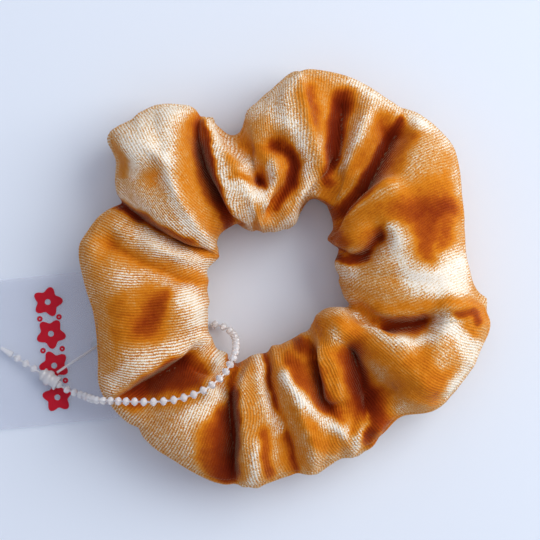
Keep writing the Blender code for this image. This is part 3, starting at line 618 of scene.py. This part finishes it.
def paint_sheen_and_shade(tone_sheen_shade, points, row):
    """The tone with the strokes of painted sheen and shade laid over it in turn, on the upper side only. Their edges
    wander a little.
    """
    up = np.sin(np.radians(row))
    upper = np.where(np.cos(np.radians(row)) > 0, ease(up / 0.4), ease((up + 0.25) / 0.3))
    nearer = 1.0 / (1.0 - points[..., 2] / SEEN_FROM)
    east, north = points[..., 0] * nearer, points[..., 1] * nearer
    x = east + 0.3 * np.sin(north * 0.9 + 0.7) + 0.15 * np.sin(north * 2.7 + east * 1.3)
    y = north + 0.3 * np.sin(east * 1.0 + 2.1) + 0.15 * np.sin(east * 2.9 - north * 1.1)
    for value, half_width, *line in SHEEN_AND_SHADE_STROKES:
        first, last = half_width if isinstance(half_width, tuple) else (half_width, half_width)
        cover = np.zeros_like(x)
        for k, ((x0, y0), (x1, y1)) in enumerate(zip(line, line[1:])):
            dx, dy = x1 - x0, y1 - y0
            share = np.clip(((x - x0) * dx + (y - y0) * dy) / (dx * dx + dy * dy), 0.0, 1.0)
            half = first + (last - first) * (k + share) / (len(line) - 1)
            away = np.hypot(x - x0 - share * dx, y - y0 - share * dy)
            cover = np.maximum(cover, ease(1.0 - (away - 0.2 * half) / (1.05 * half + 0.7)))
        tone_sheen_shade = tone_sheen_shade + (value - tone_sheen_shade) * cover * upper
    return tone_sheen_shade


COVER_POINTS, ROWS, SEAM_ROWS, NAP_SHEEN_SHADE, HOLLOW_SHADE = cover_points()


def strip_coordinates(points):
    """Metres along the strip of cloth from 0 degrees and across it from the outer edge, and the steps to the next."""
    along = np.linalg.norm(np.roll(points, -1, 0) - points, axis=2) * MM
    across = np.linalg.norm(np.roll(points, -1, 1) - points, axis=2) * MM
    return np.cumsum(along, 0) - along, np.cumsum(across, 1) - across, along, across


def cover_mesh():
    count = len(ROWS)
    cloth = smooth_grid(COVER_POINTS, 30)
    run, over, along, across = strip_coordinates(cloth)
    # every face of the grid but those in the turning gap
    i, k = np.meshgrid(np.arange(COLUMNS), np.arange(count), indexing="ij")
    degrees = 360.0 * (i + 0.5) / COLUMNS
    gap_row = int(np.argmin(np.abs(ROWS - SEAM_ROWS[1])))
    closed = (k != gap_row) | (degrees < SLIT_FROM) | (degrees > SLIT_TO)
    i, k = i[closed], k[closed]
    after, above = (i + 1) % COLUMNS, (k + 1) % count
    index = np.arange(COLUMNS * count).reshape(COLUMNS, count)
    faces = np.stack([index[i, k], index[after, k], index[after, above], index[i, above]], axis=1)
    flat = COVER_POINTS.reshape(-1, 3) * MM + np.array(RING_CENTRE)
    mesh = bpy.data.meshes.new("cover")
    mesh.from_pydata(flat.tolist(), [], faces.tolist())
    uv = mesh.uv_layers.new(name="strip")
    # along the strip, each row is counted from the middle of its puff, so that the ribs keep their pitch
    puff = puff_offsets(cloth, run, along)
    u = np.stack([puff[i, k], puff[i, k] + along[i, k], puff[i, above] + along[i, above], puff[i, above]], axis=1)
    last = over[i, k] + across[i, k]
    v = np.stack([over[i, k], over[i, k], last, last], axis=1)
    uv.data.foreach_set("uv", np.stack([u, v], axis=2).astype(np.float32).ravel())
    stretched = np.exp(-((turn_between(ANGLES, RIBS_CLEAREST) / 50.0) ** 2))[:, None] * np.ones((1, count))
    # the nap's tone with its painted sheen and shade, and the painted shade in the hollows, go on the mesh
    for name, field in (("nap", NAP_SHEEN_SHADE), ("hollow", HOLLOW_SHADE), ("stretched", stretched)):
        attribute = mesh.attributes.new(name, "FLOAT", "POINT")
        attribute.data.foreach_set("value", field.astype(np.float32).ravel())
    mesh.validate()
    mesh.shade_smooth()
    return mesh


def puff_offsets(points, run, along):
    """run, counted from the middle line of each puff between two deep valleys instead of from 0 degrees."""
    radius = np.linalg.norm(points[..., :2], axis=2).mean(0)
    deep = [line for depth, _, _, *line in VALLEYS if depth >= 5.0]
    here = np.sort([line_at(line, radius)[0] % 360.0 for line in deep], axis=0)
    out = np.empty_like(run)
    for k, edges in enumerate(here.T):
        total = run[-1, k] + along[-1, k]
        at_edges = np.interp(edges, ANGLES, run[:, k])
        puff = np.searchsorted(edges, ANGLES, side="right")
        low = np.where(puff == 0, at_edges[-1] - total, at_edges[(puff - 1) % len(edges)])
        high = np.where(puff == len(edges), at_edges[0] + total, at_edges[puff % len(edges)])
        out[:, k] = run[:, k] - (low + high) / 2
    return out


def seam_line(shift, start=0.0, end=360.0, steps=240):
    """Points along the seam in metres; shift(step) says how far in from the cover's face, and up it, each is, in mm."""
    normals = grid_normals(COVER_POINTS)
    k = int(np.argmin(np.abs(ROWS - SEAM_AT)))
    out = []
    for j in range(steps):
        at = (start + (end - start) * j / steps) / 360.0 * COLUMNS
        i, share = int(at) % COLUMNS, at % 1.0
        after = (i + 1) % COLUMNS
        here = COVER_POINTS[i, k] * (1 - share) + COVER_POINTS[after, k] * share
        normal = normals[i, k] * (1 - share) + normals[after, k] * share
        up = COVER_POINTS[i, (k + 4) % len(ROWS)] - COVER_POINTS[i, k - 4]
        up = up / np.linalg.norm(up)
        shift_in, shift_up = shift(j)
        out.append(Vector((here - normal * shift_in + up * shift_up) * MM) + RING_CENTRE)
    return out


def thread_curve(name, points, diameter, cyclic=False):
    curve = bpy.data.curves.new(name, "CURVE")
    curve.dimensions = "3D"
    curve.bevel_depth = diameter / 2
    curve.bevel_resolution = 3
    curve.use_fill_caps = True
    spline = curve.splines.new("POLY")
    spline.points.add(len(points) - 1)
    for point, at in zip(spline.points, points):
        point.co = (*at, 1.0)
    spline.use_cyclic_u = cyclic
    return link(name, curve, THREAD)


def make_seams():
    """The long seam's thread, hidden inside the cover, and the small stitches that close its turning gap."""
    inside = seam_line(lambda j: (LONG_SEAM_INSET, 0.0))
    long_seam = thread_curve("long_seam_stitches", inside, 0.0005, cyclic=True)
    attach(long_seam, "cover")
    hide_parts("long_seam_thread")
    stitches, steps = 9, 14  # and the points on each

    def over_and_under(j):
        turn = math.tau * j / steps
        return 0.05 - 0.28 * math.cos(turn), 0.62 * math.sin(turn)

    points = seam_line(over_and_under, SLIT_FROM + 0.6, SLIT_TO - 0.6, stitches * steps)
    closing = thread_curve("closing_stitches", points, 0.00028)
    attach(closing, "cover")
    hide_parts("closing_seam_thread")


def make_cover():
    cover = link("gathered_velvet_cover", cover_mesh(), VELVET)
    cloth = cover.modifiers.new("cloth", "SOLIDIFY")
    cloth.thickness = CLOTH * MM
    cloth.offset = -1.0
    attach(cover, "cover")
    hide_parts("velvet_cover")


# ---- camera and light
CAMERA_X, CAMERA_Y, CAMERA_HEIGHT = -0.0034, 0.0026, 0.55
SEEN_WIDTH = 0.1458  # what the picture spans at the table's height


def add_camera():
    data = bpy.data.cameras.new("camera")
    data.sensor_width = 36.0
    data.lens = data.sensor_width * CAMERA_HEIGHT / SEEN_WIDTH
    camera = link("camera", data)
    camera.location = (CAMERA_X, CAMERA_Y, CAMERA_HEIGHT)
    SCENE.camera = camera


def add_light(name, location, at, size, power, colour):
    data = bpy.data.lights.new(name, "AREA")
    data.shape = "RECTANGLE"
    data.size, data.size_y = size
    data.energy = power
    data.color = colour
    light = link(name, data)
    light.location = location
    light.rotation_euler = (Vector(at) - light.location).to_track_quat("-Z", "Y").to_euler()


def add_stage():
    """The pale floor, the sky's soft light, a window at the right and a faint light overhead."""
    floor = bpy.data.meshes.new("floor")
    floor.from_pydata([(-3, -3, 0), (3, -3, 0), (3, 3, 0), (-3, 3, 0)], [], [(0, 1, 2, 3)])
    m = Nodes("floor_paint")
    m.set(Base_Color=(0.765, 0.835, 0.915, 1), Roughness=0.7)
    link("floor", floor, m.material)
    world = bpy.data.worlds.new("world")
    world.use_nodes = True
    sky = world.node_tree.nodes["Background"].inputs
    sky["Color"].default_value = (0.78, 0.82, 1.0, 1)
    sky["Strength"].default_value = 0.53
    SCENE.world = world
    add_light("window", (0.74, 0.34, 0.62), (0, 0, 0.01), (1.0, 1.0), 10.6, (1.0, 0.98, 0.95))
    add_light("overhead", (0.1, 0.3, 0.9), (0, 0, 0), (0.9, 0.9), 1.0, (0.92, 0.95, 1.0))
    SCENE.view_settings.view_transform = "Standard"


# ---- the swing tag and its fastener
# the strand's route, as in the CAD model, in millimetres from the ring's centre
STRAND_ROUTE = [
    (-58.7, -24.5, 3.8), (-55.2, -22.1, 3.3), (-51.8, -19.9, 2.85), (-49.4, -18.3, 2.35), (-47.7, -17.2, 1.4),
    (-45.9, -16.6, 0.6), (-43.2, -16.2, 0.5), (-40.4, -16.2, 0.62), (-36.0, -15.6, 1.2), (-29.0, -13.9, 1.25),
    (-22.0, -12.2, 1.25), (-17.8, -11.6, 1.4), (-14.2, -12.2, 2.5), (-11.9, -13.6, 5.2), (-10.8, -15.0, 9.5),
    (-10.5, -16.4, 14.2), (-10.6, -18.2, 18.6), (-11.6, -20.8, 22.8), (-14.1, -24.5, 26.2), (-18.8, -27.9, 28.2),
    (-25.0, -30.0, 28.7), (-31.0, -30.8, 27.8), (-36.8, -30.9, 25.5), (-42.7, -31.0, 21.3), (-46.8, -31.1, 17.5),
    (-48.9, -30.8, 13.8), (-50.8, -30.4, 10.0), (-53.2, -29.9, 6.8), (-56.6, -28.7, 4.5), (-60.5, -26.2, 4.1),
    (-64.4, -23.8, 3.8), (-67.4, -22.0, 3.15), (-70.6, -20.0, 2.75),
]
ROUTE_STEPS = 40  # points on the smooth curve from one of the route's points to the next
NECK_POINTS, LOCK_POINT = 8, 29  # where the smooth neck ends, and the middle of the lock
# the neck's radius, its points' spacing and the gap after the last of them
NECK_RADIUS, NECK_STEP, NECK_GAP = 0.34, 0.7, 1.0
# a bead's radius and half its length, the distance from bead to bead, and the string's radius
BEAD_WIDE, BEAD_LONG, BEAD_PITCH, STRING = 1.1, 0.95, 2.65, 0.24
BEAD_END = BEAD_LONG + 0.02  # where the string starts again
# the lock's closed profile, as its radius and its place along the strand
LOCK_PROFILE = [
    (1.25, -2.2), (1.45, -2.45), (1.85, -2.5), (2.05, -2.3), (2.05, -1.9), (1.75, -1.55), (1.65, -0.9), (1.75, -0.3),
    (2.1, 0.0), (2.2, 0.5), (2.1, 1.0), (1.75, 1.4), (1.7, 1.9), (1.9, 2.15), (1.85, 2.45), (1.5, 2.5), (1.25, 2.25),
    (1.15, 1.2), (1.15, -1.2),
]
# the card, in metres: its punched hole, its turn and its tilt in degrees, and its thickness
TAG_PIVOT = Vector((-0.0477, -0.0172, 0.0013)) + RING_CENTRE
TAG_TURN, TAG_TILT, TAG_THICKNESS = 5.8, 1.0, 0.0004
# the motif, in metres from the card's hole: the flowers' column, start, spacing, radius and eye; then the dots'
# distance from that column, radius and eye, and the print's thickness and its gap to the card
PRINT_X, FLOWERS_FROM, FLOWER_PITCH, FLOWER_RADIUS, FLOWER_EYE = -0.0125, 0.0129, 0.0086, 0.0041, 0.0008
DOT_SIDE, DOT_RADIUS, DOT_EYE, PRINT_THICK, PRINT_GAP = 0.0026, 0.00075, 0.0002, 0.00004, 0.00001


def smooth_route():
    """Points every tenth of a millimetre or so on the smooth curve through the route, and their place along it."""
    route = np.array(STRAND_ROUTE)
    fine = []
    for i in range(len(route) - 1):
        near = [route[min(max(i + k, 0), len(route) - 1)] for k in (-1, 0, 1, 2)]
        fine += [curve_between(*near, t) for t in np.linspace(0, 1, ROUTE_STEPS, endpoint=False)]
    fine = np.array(fine + [route[-1]])
    along = np.concatenate([[0.0], np.cumsum(np.linalg.norm(np.diff(fine, axis=0), axis=1))])
    return fine, along


def tube_mesh(name, path, radii, sides):
    """A closed flat-sided tube along the path, whose radius changes along it; both in mm."""
    tangents = np.gradient(path, axis=0)
    tangents /= np.linalg.norm(tangents, axis=1, keepdims=True)
    side = np.cross(tangents[0], (0.0, 0.0, 1.0))
    verts, faces = [], []
    for point, tangent, radius in zip(path, tangents, radii):
        side = side - tangent * side.dot(tangent)
        side /= np.linalg.norm(side)
        over = np.cross(tangent, side)
        for k in range(sides):
            turn = math.tau * k / sides
            spoke = math.cos(turn) * side + math.sin(turn) * over
            verts.append((point + radius * spoke) * MM + np.array(RING_CENTRE))
    for i in range(len(path) - 1):
        for k in range(sides):
            after = (k + 1) % sides
            faces.append((i * sides + k, i * sides + after, (i + 1) * sides + after, (i + 1) * sides + k))
    faces.append(tuple(reversed(range(sides))))
    faces.append(tuple((len(path) - 1) * sides + k for k in range(sides)))
    mesh = bpy.data.meshes.new(name)
    mesh.from_pydata([tuple(v) for v in verts], [], faces)
    return mesh


def make_strand():
    """Beads with cut facets, moulded on a thin string; the neck that joins the lock is smooth."""
    fine, along = smooth_route()
    neck_end = along[NECK_POINTS * ROUTE_STEPS]
    beads = int((along[-1] - neck_end) / BEAD_PITCH)
    spacing = (along[-1] - neck_end) / beads
    middles = neck_end + spacing * (np.arange(beads) + 0.5)
    places = list(np.arange(0.0, neck_end - NECK_GAP, NECK_STEP))
    for middle in middles:
        places += [middle + share * BEAD_END for share in (-1.0, -0.55, -0.2, 0.2, 0.55, 1.0)]
        places.append(middle + spacing / 2)
    places = np.array(places)
    away = np.abs(places[:, None] - middles).min(axis=1)
    bulge = np.interp(away / BEAD_LONG, (0.2, 0.55, 1.0), (BEAD_WIDE, 0.8 * BEAD_WIDE, STRING))
    radii = np.maximum(np.where(places < neck_end, NECK_RADIUS, STRING), bulge)
    path = np.stack([np.interp(places, along, fine[:, k]) for k in range(3)], axis=1)
    strand = link("beaded_strand", tube_mesh("beaded_strand", path, radii, sides=8), BEADS)
    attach(strand, "tag_loop")
    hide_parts("bead_strand")
    return strand, path


def lathe_mesh(name, profile, segments=40):
    """A turned ring from a closed profile of (radius, along) in mm."""
    verts, faces = [], []
    count = len(profile)
    for i in range(segments):
        turn = math.tau * i / segments
        verts += [(r * math.cos(turn) * MM, r * math.sin(turn) * MM, z * MM) for r, z in profile]
        after = (i + 1) % segments
        for k in range(count):
            above = (k + 1) % count
            faces.append((i * count + k, after * count + k, after * count + above, i * count + above))
    mesh = bpy.data.meshes.new(name)
    mesh.from_pydata(verts, [], faces)
    work = bmesh.new()
    work.from_mesh(mesh)
    bmesh.ops.recalc_face_normals(work, faces=work.faces)
    work.to_mesh(mesh)
    work.free()
    mesh.shade_smooth()
    return mesh


def make_lock():
    """The moulded barrel that the strand's beads snap through, with a flange at each mouth and a waist."""
    route = np.array(STRAND_ROUTE)
    along = Vector(route[LOCK_POINT + 1] - route[LOCK_POINT - 1])
    lock = link("moulded_lock", lathe_mesh("moulded_lock", LOCK_PROFILE), BEADS)
    turned = along.to_track_quat("Z", "Y").to_matrix().to_4x4()
    lock.matrix_world = Matrix.Translation(Vector(route[LOCK_POINT]) * MM + RING_CENTRE) @ turned
    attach(lock, "tag_loop")
    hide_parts("strand_lock")
    return lock


def make_print():
    """A generic motif on the card: a column of plain five-petalled flowers with dots between them."""
    work = bmesh.new()

    def island(x, y, outline, hole):
        """A thin flat patch with a hole; both rings are (angle, radius) from its middle."""
        (o0, h0), (o1, h1) = (
            [[work.verts.new((x + r * math.cos(a), y + r * math.sin(a), z)) for a, r in ring]
             for ring in (outline, hole)] for z in (0.0, PRINT_THICK)
        )
        for k in range(len(outline)):
            n = (k + 1) % len(outline)
            work.faces.new((o1[k], o1[n], h1[n], h1[k]))
            work.faces.new((o0[k], h0[k], h0[n], o0[n]))
            work.faces.new((o0[k], o0[n], o1[n], o1[k]))
            work.faces.new((h0[n], h0[k], h1[k], h1[n]))

    turns = [math.tau * k / 60 for k in range(60)]
    for row in range(4):
        y = FLOWERS_FROM - FLOWER_PITCH * row
        petals = [(turn, FLOWER_RADIUS * (0.84 + 0.16 * math.cos(5 * (turn + 0.3 * row)))) for turn in turns]
        island(PRINT_X, y, petals, [(turn, FLOWER_EYE) for turn in turns])
        if row < 3:
            for x in (PRINT_X - DOT_SIDE, PRINT_X + DOT_SIDE):
                dot, eye = [(turn, DOT_RADIUS) for turn in turns], [(turn, DOT_EYE) for turn in turns]
                island(x, y - FLOWER_PITCH / 2, dot, eye)
    bmesh.ops.recalc_face_normals(work, faces=work.faces)
    mesh = bpy.data.meshes.new("tag_motif")
    work.to_mesh(mesh)
    work.free()
    motif = link("tag_motif", mesh, PRINT)
    lying = Matrix.Rotation(math.radians(TAG_TURN), 4, "Z") @ Matrix.Rotation(-math.radians(TAG_TILT), 4, "Y")
    above = Matrix.Translation((0, 0, TAG_THICKNESS + PRINT_GAP))
    motif.matrix_world = Matrix.Translation(TAG_PIVOT) @ lying @ above
    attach(motif, "tag")


def make_fastener():
    strand, path = make_strand()
    lock = make_lock()


def dress_cad_nodes():
    """Materials for the CAD meshes that are seen as they are, and a soft edge for the card."""
    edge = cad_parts["tag_card"].modifiers.new("soft_edge", "BEVEL")
    edge.width = 0.00012
    edge.segments = 2
    for node, material in (
        ("elastic_band", ELASTIC), ("elastic_join_thread", ELASTIC_THREAD), ("tag_card", CARD), ("strand_tip", BEADS),
    ):
        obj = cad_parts[node]
        obj.data.materials.clear()
        obj.data.materials.append(material)


add_camera()
add_stage()
make_fastener()
make_print()
make_cover()
make_seams()
dress_cad_nodes()
